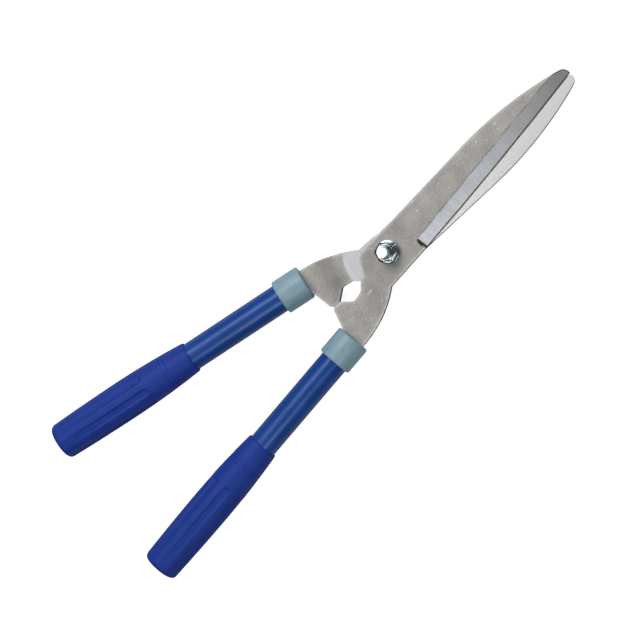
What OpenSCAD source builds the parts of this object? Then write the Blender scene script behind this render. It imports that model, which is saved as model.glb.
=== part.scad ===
// Long-handled grass shears with two crossed plate blades, cranked arms and tubular handles.
// +X runs along the closed blades to the tips, +Z along the pivot bolt to the nut side, and the origin
// is the middle of the bolt head's flat outer face. The rear half is the one that holds the bolt.

/* [Blades] */
// Distance from the pivot to the blade tips
blade_reach = 186; // [160:1:230]
// Thickness of the blade plates
plate_t = 4; // [3:0.1:5]
// Distance from the closed centre line to a blade's back, level with the pivot
spine_half = 15.6; // [14:0.1:18]
// Angle at which the back flares out towards the tip
spine_flare = 1.7; // [0:0.1:3]
// Length of the curved run of the back that ends at the tip
belly_length = 94; // [70:1:110]
// Radius of that curved run
belly_r = 295; // [270:5:400]
// Radius of the rounded tip
tip_r = 5.6; // [4:0.1:7]
// Distance from the pivot to the start of the ground cutting edge
edge_start = 23.5; // [20:0.5:30]
// How far the cutting edge starts past the closed centre line
edge_overlap = 16.6; // [14:0.1:18]
// How far the cutting edge bows out between its ends
edge_bow = 1.15; // [0.5:0.05:2]
// Width of the ground bevel behind the cutting edge
bevel_w = 9.2; // [6:0.1:11]
// Height of the land left along the cutting edge
edge_land = 0.5; // [0.2:0.1:1]
// Clearance between the two blades
blade_gap = 0.1; // [0.05:0.05:0.3]

/* [Arms] */
// How far the pivot hole is from the closed centre line
pivot_offset = 1.1; // [0:0.1:2]
// Radius of the rounded heel behind the pivot
heel_r = 8.4; // [6:0.1:10]
// Distance from the pivot back to the middle of the heel
heel_back = 14; // [11:0.5:16]
// Distance from the pivot back to the corner where the arm starts
arm_back = 16; // [13:0.5:20]
// Distance from the closed centre line to that corner
arm_half = 19; // [18:0.1:22]
// Radius of the arm's outer edge
arm_r = 95; // [80:1:130]
// Distance from the pivot back to the front corner of the six-sided gap
gap_back = 30.6; // [29:0.1:32]
// Half-width of the six-sided gap at its wide shoulder
gap_half = 7.1; // [5:0.1:8]
// Distance from the pivot back to the stop faces
stop_back = 52.8; // [50:0.1:56]
// Length of the stop faces
stop_length = 4.1; // [2:0.1:5]
// Clearance between the stop faces when the blades are closed
stop_gap = 0.2; // [0.1:0.1:0.5]
// Angle at which the arms are cranked up towards the nut side
crank = 11; // [0:1:16]
// Distance from the pivot back to the start of the crank
crank_back = 31.5; // [31:0.5:34]
// Length of the bend
crank_run = 13; // [10:0.5:15]
// Length over which the rear arm climbs by one plate, to come level with the front arm
climb_run = 28; // [20:0.5:28]

/* [Pivot] */
// Diameter of the pivot bolt
bolt_d = 10; // [8:0.5:12]
// How far the bolt's flat head reaches out past the shank
head_lip = 5; // [3:0.5:7]
// Height of the bolt's head
head_h = 4; // [3:0.5:6]
// Length of bolt that stands out past the nut
bolt_end = 6; // [3:0.5:8]
// Height of the bolt's domed end
dome_h = 1.4; // [0.5:0.1:2]
// Thickness of the nut's wall at the middle of a flat
nut_wall = 2; // [1.8:0.1:4]
// Height of the nut
nut_h = 9; // [6:0.5:11]
// Turn of the nut about the bolt
nut_turn = 16; // [0:1:59]
// Width of the spring washer's ring
washer_w = 3.7; // [2.5:0.1:5]
// Thickness of the spring washer
washer_h = 2.4; // [1.5:0.1:3]
// Width of the split in the spring washer
washer_split = 1.2; // [0.5:0.1:2]
// Radial clearance of the bolt in the front blade
pivot_clear = 0.05; // [0.02:0.01:0.1]

/* [Handles] */
// Distance from the pivot back to the mouth of the rear handle
rear_reach = 61; // [58:0.1:70]
// Distance from the pivot back to the mouth of the front handle
front_reach = 63.6; // [58:0.1:70]
// Distance from the line through the pivot to the middle of the rear handle's mouth
rear_mouth = 28.1; // [26:0.1:34]
// Distance from the line through the pivot to the middle of the front handle's mouth
front_mouth = 28.7; // [26:0.1:34]
// Angle of the rear handle to the closed centre line
rear_splay = 10.1; // [5:0.1:15]
// Angle of the front handle to the closed centre line
front_splay = 6.8; // [5:0.1:15]
// Gap between the arm's edges and the tube's bore where the arm enters it
mouth_side = 0.6; // [0.4:0.1:1.5]
// Step on each side of the arm down to the tang
tang_step = 2.3; // [1.5:0.1:4]
// Length of the arm and tang inside the handle
tang_length = 42; // [30:1:60]
// Outer diameter of the handle tube
tube_d = 22.2; // [18:0.1:27]
// Wall of the handle tube
tube_wall = 1.2; // [0.8:0.1:2]
// Length of bare rear tube between collar and grip
rear_tube_show = 81.2; // [60:0.2:140]
// Length of bare front tube between collar and grip
front_tube_show = 82.4; // [60:0.2:140]
// Wall of the collar over the tube
collar_wall = 2.5; // [1.5:0.1:4]
// Length of the collar
collar_length = 22.7; // [18:0.1:35]
// Thickness of the collar's front wall
collar_front = 3; // [2:0.1:5]
// Radius of the collar's edges
collar_round = 1.4; // [0.5:0.1:2]
// Diameter of the tang pin
pin_d = 4; // [3:0.1:5]
// Distance from the collar's mouth to the tang pin
pin_back = 13; // [10:0.5:16]
// Clearance between pieces that are pushed together
push_clear = 0.05; // [0.02:0.01:0.1]

/* [Grips] */
// Length of a grip
grip_length = 122; // [100:1:150]
// Wall of a grip at its front rim
rim_wall = 1.3; // [1:0.1:2.5]
// Wall of a grip at its thickest
grip_wall = 4.1; // [3.5:0.1:6]
// Wall of a grip beside its closed end
tail_wall = 3.1; // [2.5:0.1:5]
// Distance from the front rim to the thickest place
grip_peak = 60; // [45:1:75]
// Thickness of the grip's closed end
cap_wall = 5; // [3:0.5:8]
// Radius of the closed end's rim
grip_round = 4; // [2:0.5:5]
// Number of flutes round a grip
flute_count = 8; // [6:1:12]
// Distance from the front rim to the start of the flutes
flute_start = 39.5; // [36:0.5:60]
// Width of a flute
flute_w = 6.4; // [4:0.1:8]
// Depth of a flute
flute_depth = 1.1; // [0.5:0.1:1.5]
// Distance from the front rim to the first of two fine rings
ring_back = 18.4; // [15:0.1:25]
// Distance between the fine rings
ring_step = 3.1; // [2:0.1:6]
// Width of a fine ring
ring_w = 0.9; // [0.5:0.1:1.2]
// Depth of a fine ring
ring_depth = 0.4; // [0.2:0.1:0.6]
// Turn of the rear grip's flutes from the top of its handle
rear_flute_turn = 23.8; // [0:0.1:45]
// Turn of the front grip's flutes from the top of its handle
front_flute_turn = 31.4; // [0:0.1:45]

/* [Hidden] */
$fn = 96;

steel = "darkgray";
zinc = "gainsboro";
collar_colour = "cadetblue";
tube_colour = "royalblue";
grip_colour = "mediumblue";
moulding_colour = "dimgray";

over = 1;                                   // overshoot of cutting solids
washer_room = 0.4;                          // how much wider the washer's hole is than the bolt
shear_z = head_h + plate_t + blade_gap / 2; // height of the plane in which the blades meet
front_mid = (plate_t + blade_gap) / 2;      // height of the front blade's middle above that plane
front_top = plate_t + blade_gap / 2;
collar_d = tube_d + 2 * collar_wall;
tube_id = tube_d - 2 * tube_wall;
mouth_w = tube_id - 2 * mouth_side;
tang_w = mouth_w - 2 * tang_step;
head_d = bolt_d + 2 * head_lip;
nut_flats = bolt_d + 2 * nut_wall;
washer_hole = bolt_d + washer_room;
washer_d = washer_hole + 2 * washer_w;
grip_front_d = tube_d + 2 * rim_wall;
grip_d = tube_d + 2 * grip_wall;
grip_end_d = tube_d + 2 * tail_wall;

// Blade outline, for the front half: back on the +Y side, arm on the -Y side.
belly_x = blade_reach - belly_length;
tip_cx = blade_reach - tip_r;
belly_turn = asin((tip_cx - belly_x) / belly_r) - spine_flare;
tip_x = tip_cx + tip_r * sin(belly_turn);
tip_cy = spine_y(tip_x) - tip_r * cos(belly_turn);
tip_end_turn = 12;
edge_a = [edge_start, -edge_overlap];
edge_b = [tip_cx + tip_r * cos(tip_end_turn), tip_cy - tip_r * sin(tip_end_turn)];
edge_chord = norm(edge_b - edge_a);
edge_r = edge_chord * edge_chord / (8 * edge_bow) + edge_bow / 2;
edge_half_angle = asin(edge_chord / 2 / edge_r);
shoulder_depth = collar_front + 1;
lobe_r = 3.4;                               // radius of the arm's rounded lobe behind its stop face
gap_wide = 0.61;                            // shares of the gap's length at its wide and narrow corners
gap_narrow = 0.25;
gap_narrow_half = 0.79;                     // share of the gap's half-width at the narrow corner
gap_soft = 1.4;                             // length of outline rounded off on each side of those corners
heel_taper = 1.48;                          // heel radii from the heel's middle to the corner behind it
heel_dip = 0.8;                             // how far that corner is past the closed centre line
tang_spare = 20;                            // how far the bent plate runs on past the tang
plate_low = -30;                            // level below every part of a plate, and height above it
plate_room = 100;
head_edge = 0.8;                            // chamfer of the bolt head
nut_chamfer = 1.8;                          // slope of the nut's corner chamfer
rim_edge = 0.8;                             // chamfer of the grip's front rim
back_edge = 0.4;                            // chamfer of the collar's bore at its back
sleeve_past = 6;                            // how far the sleeve runs on past the tang
pin_short = 0.6;                            // how much shorter the tang pin is than the tube's diameter
neck_root = 0.5;                            // how far the bolt's square neck runs into its head
washer_turn = -3;                           // bearing of the washer's split from the pivot
nut_round = 0.43;                           // radius at the nut's top face, as a share of its width
heel_turn = 160;                            // bearings at which the heel's and the lobe's arcs start
lobe_turn = 165;
bevel_steps = 2400;                         // facets in a full turn at the bevel's large radius
end_round_turn = 22;                        // where the rounding of a grip's closed end starts
bend_step = 1.6;                            // length of one step of an arm's bend

function spine_y(x) = spine_half + x * tan(spine_flare)
    - (x > belly_x ? belly_r - sqrt(pow(belly_r, 2) - pow(x - belly_x, 2)) : 0);
function arc(c, r, from, to, steps) =
    [for (i = [0:steps]) let (a = from + (to - from) * i / steps) c + r * [cos(a), sin(a)]];
// Centre of an arc of radius r that runs from p to q, on the right of the line p to q
function arc_centre(p, q, r) =
    let (half = norm(q - p) / 2, along = (q - p) / norm(q - p))
    (p + q) / 2 + sqrt(r * r - half * half) * [along.y, -along.x];
// Corner b of an outline that runs from a to c, rounded over a length of cut on both sides
function soft_corner(a, b, c, cut) =
    let (from = b + cut * (a - b) / norm(a - b), to = b + cut * (c - b) / norm(c - b))
    [for (i = [0:4]) let (t = i / 4) (1 - t) * (1 - t) * from + 2 * t * (1 - t) * b + t * t * to];
function bearing(c, p) = let (a = atan2(p.y - c.y, p.x - c.x)) a < 0 ? a + 360 : a;

function half_outline(reach, mouth, splay, side) =
    let (
        root = [-reach, side * pivot_offset - mouth],
        back = [-cos(splay), -sin(splay)],
        out = [sin(splay), -cos(splay)],
        edge_c = arc_centre(edge_b, edge_a, edge_r),
        arm_p = [-arm_back, -arm_half],
        arm_q = root + out * mouth_w / 2,
        arm_c = arc_centre(arm_p, arm_q, arm_r),
        heel_c = [-heel_back, spine_y(-heel_back) - heel_r],
        stop_y = -stop_gap / 2,
        lobe_c = [-stop_back - stop_length, stop_y - lobe_r],
        gap_length = stop_back - gap_back,
        stop_end = [-stop_back, stop_y],
        gap_end = [-gap_back, stop_y],
        wide = [-gap_back - gap_length * gap_wide, -gap_half],
        narrow = [-gap_back - gap_length * gap_narrow, -gap_half * gap_narrow_half]
    )
    concat(
        [for (i = [0:16]) let (x = belly_x + (tip_x - belly_x) * i / 16) [x, spine_y(x)]],
        arc([tip_cx, tip_cy], tip_r, 90 - belly_turn, -tip_end_turn, 10),
        arc(edge_c, edge_r, bearing(edge_c, edge_b), bearing(edge_c, edge_a), 16),
        arc(arm_c, arm_r, bearing(arm_c, arm_p), bearing(arm_c, arm_q), 12),
        [
            root + back * shoulder_depth + out * mouth_w / 2,
            root + back * shoulder_depth + out * tang_w / 2,
            root + back * tang_length + out * tang_w / 2,
            root + back * tang_length - out * tang_w / 2,
            root + back * shoulder_depth - out * tang_w / 2,
            root + back * shoulder_depth - out * mouth_w / 2,
            root - out * mouth_w / 2
        ],
        arc(lobe_c, lobe_r, lobe_turn, 90, 6),
        [stop_end],
        soft_corner(stop_end, wide, narrow, gap_soft),
        soft_corner(wide, narrow, gap_end, gap_soft),
        [gap_end, [-heel_back - heel_r * heel_taper, heel_dip]],
        arc(heel_c, heel_r, heel_turn, 90 + spine_flare, 12)
    );

// Height of an arm's middle at distance r back from the pivot, and the slope there.
// The rear arm also climbs by one plate, so that both arms and handles are level.
function share(r, run) = max(0, min(1, (r - crank_back) / run));
function arm_z(r, base) =
    let (u = share(r, crank_run), c = share(r, climb_run))
    base + (front_mid - base) * c * c * (3 - 2 * c)
    + tan(crank) * (u < 1 ? crank_run * u * u / 2 : r - crank_back - crank_run / 2);
function arm_slope(r, base) =
    let (u = share(r, crank_run), c = share(r, climb_run))
    (front_mid - base) * 6 * c * (1 - c) / climb_run + tan(crank) * u;
function face_z(r, base, side) =
    arm_z(r, base) + side * plate_t / 2 * sqrt(1 + pow(arm_slope(r, base), 2));

// Side view of a plate that is flat at the pivot and cranked towards the handle
module bent_plate(base, heading, tail) {
    run = max(crank_run, base < 0 ? climb_run : 0);
    steps = round(run / bend_step);
    bend = [for (i = [0:steps]) crank_back + run * i / steps];
    stations = concat([-2 * blade_reach], bend, [tail]);
    top = [for (r = stations) [r, face_z(r, base, 1)]];
    bottom = [for (r = stations) [r, face_z(r, base, -1)]];
    last = len(stations) - 1;
    rotate([0, 0, heading])
        rotate([90, 0, 0])
            linear_extrude(height = 2 * blade_reach, center = true)
                polygon(concat(top, [for (i = [0:last]) bottom[last - i]]));
}

// One blade in the front half's hand, before its bevel and holes
module half_plate(reach, mouth, splay, base, side) {
    heading = side * (splay - 180);
    tail = handle_reach(reach, mouth, splay) + tang_length + tang_spare;
    intersection() {
        translate([0, -pivot_offset, plate_low])
            linear_extrude(height = plate_room)
                in_hand(side) polygon(half_outline(reach, mouth, splay, side));
        bent_plate(base, heading, tail);
    }
}

// Mirrors an outline about the closed centre line for the rear half
module in_hand(side) {
    if (side > 0) children();
    else mirror([0, 1, 0]) children();
}

// Solid that grinds the bevel off the front blade's upper face, with the bowed edge's own radius
module bevel_cutter() {
    centre = arc_centre(edge_b, edge_a, edge_r);
    start = bearing(centre, edge_a);
    fall = plate_t - edge_land;
    translate([centre.x, centre.y - pivot_offset, blade_gap / 2])
        rotate([0, 0, start])
            rotate_extrude(angle = 2 * edge_half_angle + 1, $fn = bevel_steps)
                polygon([
                    [edge_r - bevel_w - over * bevel_w / fall, plate_t + over],
                    [edge_r + bevel_w, plate_t + over],
                    [edge_r + bevel_w, edge_land - fall]
                ]);
}

// Distance of a handle's mouth from the pivot along the handle's own heading, and its height
function handle_reach(reach, mouth, splay) = reach * cos(splay) + mouth * sin(splay);
module handle_frame(reach, mouth, splay, side) {
    rise = arm_z(handle_reach(reach, mouth, splay), front_mid);
    translate([-reach, -side * mouth, shear_z + rise])
        rotate([0, 0, side * (splay - 180)])
            rotate([0, -crank, 0])
                children();
}
module front_handle() {
    handle_frame(front_reach, front_mouth, front_splay, 1) children();
}
module rear_handle() {
    handle_frame(rear_reach, rear_mouth, rear_splay, -1) children();
}

// A solid of revolution along the handle, from [radius, distance] points
module turned(points) {
    rotate([0, 90, 0]) rotate_extrude() polygon(points);
}
module bar(d, from, to) {
    translate([from, 0, 0]) rotate([0, 90, 0]) cylinder(d = d, h = to - from);
}
// Slot for the plate, from a place before it to a depth measured level, as the plate is cut
module tang_slot(width, from, depth) {
    to = depth / cos(crank) + plate_t / 2 * tan(crank) + push_clear;
    translate([from, -width / 2 - push_clear, -plate_t / 2 - push_clear])
        cube([to - from, width + 2 * push_clear, plate_t + 2 * push_clear]);
}
module pin_hole() {
    translate([pin_back, 0, -collar_d])
        cylinder(d = pin_d + 2 * push_clear, h = 2 * collar_d);
}

module front_blade() {
    color(steel) translate([0, 0, shear_z]) difference() {
        half_plate(front_reach, front_mouth, front_splay, front_mid, 1);
        bevel_cutter();
        translate([0, 0, -over]) cylinder(d = bolt_d + 2 * pivot_clear, h = front_top + 2 * over);
        translate([0, 0, -shear_z]) front_handle() pin_hole();
    }
}

module rear_blade() {
    neck = bolt_d + 2 * push_clear;
    color(steel) translate([0, 0, shear_z]) difference() {
        half_plate(rear_reach, rear_mouth, rear_splay, -front_mid, -1);
        translate([0, -2 * pivot_offset, 0]) rotate([180, 0, 0]) bevel_cutter();
        translate([-neck / 2, -neck / 2, -front_top - over]) cube([neck, neck, front_top + 2 * over]);
        translate([0, 0, -shear_z]) rear_handle() pin_hole();
    }
}

// Flat head, square neck in the rear blade, plain shank in the front blade and a domed end
module pivot_bolt() {
    shank_top = shear_z + front_top + washer_h + nut_h + bolt_end;
    dome_r = (pow(bolt_d / 2, 2) + pow(dome_h, 2)) / (2 * dome_h);
    dome_turn = asin(bolt_d / 2 / dome_r);
    edge = head_edge;
    color(zinc) {
        rotate_extrude() polygon(concat(
            [
                [0, 0], [head_d / 2 - edge, 0], [head_d / 2, edge],
                [head_d / 2, head_h - edge], [head_d / 2 - edge, head_h], [bolt_d / 2, head_h]
            ],
            arc([0, shank_top - dome_r], dome_r, 90 - dome_turn, 90, 6)
        ));
        translate([-bolt_d / 2, -bolt_d / 2, head_h - neck_root])
            cube([bolt_d, bolt_d, plate_t + neck_root]);
    }
}

module spring_washer() {
    split = 2 * asin(washer_split / washer_d);
    color(zinc) translate([0, 0, shear_z + front_top])
        rotate([0, 0, split / 2 + washer_turn])
            rotate_extrude(angle = 360 - split)
                translate([washer_hole / 2, 0]) square([washer_w, washer_h]);
}

module pivot_nut() {
    chamfer_r = nut_flats * nut_round;
    color(zinc) translate([0, 0, shear_z + front_top + washer_h]) difference() {
        intersection() {
            rotate([0, 0, nut_turn]) cylinder(d = nut_flats / cos(30), h = nut_h, $fn = 6);
            cylinder(r1 = chamfer_r + (nut_h * nut_chamfer), r2 = chamfer_r, h = nut_h);
        }
        translate([0, 0, -over]) cylinder(d = bolt_d + 2 * push_clear, h = nut_h + 2 * over);
    }
}

module collar() {
    bore_r = tube_d / 2 + push_clear;
    r = collar_d / 2;
    a = collar_round;
    profile = concat(
        [[0, 0]],
        arc([r - a, a], a, -90, 0, 3),
        arc([r - a, collar_length - a], a, 0, 60, 2),
        [
            [bore_r + back_edge, collar_length], [bore_r, collar_length - back_edge],
            [bore_r, collar_front], [0, collar_front]
        ]
    );
    difference() {
        turned(profile);
        tang_slot(mouth_w, -over, collar_front + over);
    }
}

module tube(show) {
    tube_end = collar_length + show + grip_length - cap_wall - push_clear;
    difference() {
        bar(tube_d, collar_front + push_clear, tube_end);
        bar(tube_id, 0, tube_end + over);
        tang_slot(mouth_w, 0, shoulder_depth);
        pin_hole();
    }
}

module tang_sleeve() {
    from = collar_front + push_clear;
    difference() {
        bar(tube_id - 2 * push_clear, from, tang_length + sleeve_past);
        tang_slot(mouth_w, 0, shoulder_depth);
        tang_slot(tang_w, 0, tang_length);
        pin_hole();
    }
}

module tang_pin() {
    pin_length = tube_d - pin_short;
    translate([pin_back, 0, -pin_length / 2]) cylinder(d = pin_d, h = pin_length);
}

function grip_r(s) =
    let (k = s < grip_peak ? (grip_d - grip_front_d) * pow(1 - s / grip_peak, 2)
        : (grip_d - grip_end_d) * pow((s - grip_peak) / (grip_length - grip_peak), 2))
    (grip_d - k) / 2;

module grip(show, flute_turn) {
    bore_r = tube_d / 2 + push_clear;
    inner_end = grip_length - cap_wall;
    rim = rim_edge;
    end_r = grip_r(grip_length);
    body_end = grip_length - grip_round;
    profile = concat(
        [[bore_r, 0], [grip_r(0) - rim, 0], [grip_r(rim), rim]],
        [for (i = [1:8]) let (s = body_end * i / 8) [grip_r(s), s]],
        arc([end_r - grip_round, body_end], grip_round, end_round_turn, 90, 3),
        [[0, grip_length], [0, inner_end], [bore_r, inner_end]]
    );
    cut_r = (pow(flute_w / 2, 2) + pow(flute_depth, 2)) / (2 * flute_depth);
    translate([collar_length + show, 0, 0]) difference() {
        turned(profile);
        for (i = [0:flute_count - 1])
            rotate([flute_turn + 360 * i / flute_count, 0, 0])
                translate([flute_start, 0, grip_d / 2 - flute_depth + cut_r])
                    rotate([0, 90, 0]) cylinder(r = cut_r, h = grip_length);
        for (s = [ring_back, ring_back + ring_step])
            translate([s, 0, 0]) turned([
                [grip_r(s) - ring_depth, 0], [grip_r(s) + over, 0],
                [grip_r(s) + over, ring_w], [grip_r(s) - ring_depth, ring_w]
            ]);
    }
}

module front_collar() { color(collar_colour) front_handle() collar(); }
module front_tube() { color(tube_colour) front_handle() tube(front_tube_show); }
module front_tang_sleeve() { color(moulding_colour) front_handle() tang_sleeve(); }
module front_tang_pin() { color(zinc) front_handle() tang_pin(); }
module front_grip() { color(grip_colour) front_handle() grip(front_tube_show, front_flute_turn); }
module rear_collar() { color(collar_colour) rear_handle() collar(); }
module rear_tube() { color(tube_colour) rear_handle() tube(rear_tube_show); }
module rear_tang_sleeve() { color(moulding_colour) rear_handle() tang_sleeve(); }
module rear_tang_pin() { color(zinc) rear_handle() tang_pin(); }
module rear_grip() { color(grip_colour) rear_handle() grip(rear_tube_show, rear_flute_turn); }

front_blade();
rear_blade();
pivot_bolt();
spring_washer();
pivot_nut();
front_collar();
front_tube();
front_tang_sleeve();
front_tang_pin();
front_grip();
rear_collar();
rear_tube();
rear_tang_sleeve();
rear_tang_pin();
rear_grip();
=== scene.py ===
"""Looks of the long-handled grass shears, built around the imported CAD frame. Metres, in the CAD frame."""

import math

import bmesh
import bpy
from mathutils import Matrix, Vector, kdtree


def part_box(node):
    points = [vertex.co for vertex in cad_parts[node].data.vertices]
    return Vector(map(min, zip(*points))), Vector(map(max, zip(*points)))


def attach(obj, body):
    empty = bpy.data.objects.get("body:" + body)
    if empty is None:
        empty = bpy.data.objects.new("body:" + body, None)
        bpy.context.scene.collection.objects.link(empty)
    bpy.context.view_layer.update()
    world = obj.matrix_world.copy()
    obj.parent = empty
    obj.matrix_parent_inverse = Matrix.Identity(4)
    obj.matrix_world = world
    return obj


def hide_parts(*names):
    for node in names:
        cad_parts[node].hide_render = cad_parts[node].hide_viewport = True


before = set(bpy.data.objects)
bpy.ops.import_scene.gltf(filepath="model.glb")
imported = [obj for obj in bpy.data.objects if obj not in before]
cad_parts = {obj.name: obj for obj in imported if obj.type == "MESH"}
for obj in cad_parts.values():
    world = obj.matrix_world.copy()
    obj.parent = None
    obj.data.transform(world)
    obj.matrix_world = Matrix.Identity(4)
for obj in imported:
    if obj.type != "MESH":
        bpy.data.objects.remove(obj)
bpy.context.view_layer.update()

# ---------------------------------------------------------------------------------------------------------
# Table and light. A plain white table, a wide softbox high on the left, a small one at the side that the flat
# steel mirrors, and a long narrow one below. The camera sees the blades from a little to one side of square.
# ---------------------------------------------------------------------------------------------------------
CAMERA_AT = Vector((0.2172, -0.1968, 1.1697))
CAMERA_AIM = Vector((-0.0738, 0.0, 0.0121))
PICTURE_UP_TURN = math.radians(45.8)  # heading of the picture's upright, from +X towards +Y
LENS_MM = 90
SENSOR_MM = 36
LAMPS_AIM_AT = CAMERA_AIM + Vector((0.05, 0, 0))
TABLE_HALF = 3
TABLE_BELOW = 0.0006  # the table's top is this far under the bolt's head, so the two never share a plane

scene = bpy.context.scene


def add_node(tree, kind, inputs=None, **settings):
    """One node with its settings; an input given as a socket is linked, any other is a value."""
    node = tree.nodes.new(kind)
    for name, value in settings.items():
        setattr(node, name, value)
    for name, value in (inputs or {}).items():
        if isinstance(value, bpy.types.NodeSocket):
            tree.links.new(value, node.inputs[name])
        else:
            node.inputs[name].default_value = value
    return node


def linear(code):
    """An sRGB hex colour as linear values, fully opaque."""
    parts = [int(code[i : i + 2], 16) / 255 for i in (1, 3, 5)]
    return tuple(p / 12.92 if p <= 0.04045 else ((p + 0.055) / 1.055) ** 2.4 for p in parts) + (1.0,)


back = (CAMERA_AT - CAMERA_AIM).normalized()
upright = Vector((math.cos(PICTURE_UP_TURN), math.sin(PICTURE_UP_TURN), 0))
right = upright.cross(back).normalized()
up = back.cross(right)
camera = bpy.data.objects.new("camera", bpy.data.cameras.new("camera"))
camera.matrix_world = Matrix.Translation(CAMERA_AT) @ Matrix((right, up, back)).transposed().to_4x4()
camera.data.lens = LENS_MM
camera.data.sensor_width = SENSOR_MM
camera.data.clip_start = 0.05
scene.collection.objects.link(camera)
scene.camera = camera

scene.view_settings.view_transform = "Standard"
scene.world = bpy.data.worlds.new("studio")
scene.world.use_nodes = True
# The walls are pale to look at but give little light, so the sides away from the softboxes stay deep.
studio = scene.world.node_tree.nodes["Background"]
studio.inputs["Color"].default_value = linear("#f3f6ff")
looked_at = add_node(scene.world.node_tree, "ShaderNodeLightPath").outputs["Is Camera Ray"]
walls = add_node(
    scene.world.node_tree, "ShaderNodeMapRange", {"Value": looked_at, "To Min": 0.055, "To Max": 0.93}
)
scene.world.node_tree.links.new(walls.outputs[0], studio.inputs["Strength"])


def softbox(name, turn, tilt, width, height, watts, distance=1.1):
    """A softbox `tilt` degrees off the line to the camera, `turn` degrees round it from the right."""
    side = right * math.cos(math.radians(turn)) + up * math.sin(math.radians(turn))
    out = back * math.cos(math.radians(tilt)) + side * math.sin(math.radians(tilt))
    lamp = bpy.data.objects.new(name, bpy.data.lights.new(name, "AREA"))
    lamp.data.shape = "RECTANGLE"
    lamp.data.size = width
    lamp.data.size_y = height
    lamp.data.energy = watts
    along = side.cross(out).normalized()
    turned = Matrix((along, out.cross(along), out)).transposed().to_4x4()
    lamp.matrix_world = Matrix.Translation(LAMPS_AIM_AT + out * distance) @ turned
    scene.collection.objects.link(lamp)


softbox("key_softbox", turn=131, tilt=41, width=0.8, height=0.36, watts=6.4)
softbox("side_softbox", turn=190, tilt=34, width=0.26, height=0.26, watts=0.95)
softbox("lower_softbox", turn=-77, tilt=32, width=0.2, height=0.75, watts=4.1, distance=1.6)

bm = bmesh.new()
bmesh.ops.create_grid(bm, x_segments=1, y_segments=1, size=TABLE_HALF)
bmesh.ops.translate(bm, verts=bm.verts, vec=(0, 0, -TABLE_BELOW))
mesh = bpy.data.meshes.new("table")
bm.to_mesh(mesh)
bm.free()
table = bpy.data.objects.new("table", mesh)
scene.collection.objects.link(table)
# White laminate: it looks an even white, and throws only a faint glow of its own on the object.
laminate = bpy.data.materials.new("white_laminate")
laminate.use_nodes = True
shader = laminate.node_tree.nodes["Principled BSDF"]
shader.inputs["Base Color"].default_value = linear("#e6e6e6")
shader.inputs["Roughness"].default_value = 0.8
shader.inputs["Emission Color"].default_value = linear("#ffffff")
seen = add_node(laminate.node_tree, "ShaderNodeLightPath").outputs["Is Camera Ray"]
glow = add_node(laminate.node_tree, "ShaderNodeMapRange", {"Value": seen, "To Min": 0.04, "To Max": 0.9})
laminate.node_tree.links.new(glow.outputs[0], shader.inputs["Emission Strength"])
mesh.materials.append(laminate)

# ---------------------------------------------------------------------------------------------------------
# Blades. Each is stamped in one piece with its arm from 4 mm rolled carbon steel, deburred by tumbling and
# left bare. The rubbing faces round the pivot and along the blade are ground flat, and a bevel is ground
# across each outer face down to the cutting edge.
# ---------------------------------------------------------------------------------------------------------
EDGE_ROUND = 0.0006  # rounding that tumbling leaves on every outline
SHEARED_AND_SHADE_BELOW = 0.8  # the rounding gets the dark sheared-edge steel where it is steeper than this: partly sheared metal, partly a painted shade line along the outline; polished metal above
WORN_BAND = 0.0021  # width of the paler band that tumbling leaves inside each outline
RUNOUT = 0.0021  # length of the slope where the grinding wheel is lifted out of the bevel
KEEN_FACET = 0.0004  # width of the facet dressed along the cutting edge
PAINTED_SHADE_LINE = 0.0008  # width of the line behind that facet that is painted dark: painted shade between the blades
WORN_GRID = 0.0019  # the plates are cut into squares of this size to carry that band
GROUND_R = 0.036  # the ground rubbing face reaches this far back from the pivot
GROUND_FADE = (0.0012, 0.0030)  # the wheel's mark fades out between these distances past that
SHEAR_Z = 0.00805  # height of the plane in which the blades meet
NEAR_SHEAR = 0.0015  # the keen edge is within this of the shear plane
EDGE_FROM_X = 0.02  # the ground edge is ahead of this
RUNOUT_X = (0.015, 0.03)  # the wall where the bevel starts stands between these
RUNOUT_BOW = (0.08, 0.6)  # start and length of the run-out's bow, as shares of half a wave
WALL_BELOW = 0.55  # a face belongs to the wall where its normal rises less than this
BEVEL_BELOW = 0.96  # and to the bevel where it rises less than this
STRIP_AREA = 4e-4  # the faces of the narrow strip that the inset leaves are smaller than this
# Cell and size in mm, stretch, turn in degrees, share of the cells that have one, and strength.
NICKS = (
    (2.6, 0.45, 1.5, 0, 0.4, 0.35),
    (5.0, 0.6, 2.2, 60, 0.35, 0.6),
    (6.0, 0.55, 4.0, 25, 0.4, 0.8),
    (5.0, 0.5, 6.0, -40, 0.3, 0.75),
)
NICK_BEND = 0.006  # how far the cloud bends a scratch
MOTTLE_MM = 1.0
CLOUD_MM = 14.0
TIP_SHADE_FROM = 0.08  # the bevel is painted darker and warmer, as shade, between these distances from the pivot
TIP_SHADE_TO = 0.175
GRIND_MM = 0.55  # true grinding lines are about 0.1 mm apart: drawn coarser so that they show


def merged_copy(node):
    """A CAD node's mesh as a bmesh with its loose triangles joined up and its flats made whole."""
    bm = bmesh.new()
    bm.from_mesh(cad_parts[node].data)
    bmesh.ops.remove_doubles(bm, verts=bm.verts, dist=2e-6)
    bmesh.ops.dissolve_limit(bm, angle_limit=math.radians(0.6), verts=bm.verts, edges=bm.edges)
    return bm


def round_edges(bm, width, segments, sharper_than=28):
    """Rounds every edge at which two faces meet at more than a given angle."""
    limit = math.radians(sharper_than)
    sharp = [e for e in bm.edges if e.is_manifold and e.calc_face_angle(0) > limit]
    bmesh.ops.bevel(
        bm, geom=sharp, offset=width, offset_type="OFFSET", segments=segments, profile=0.5,
        affect="EDGES", clamp_overlap=True, material=-1, loop_slide=True,
    )


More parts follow.
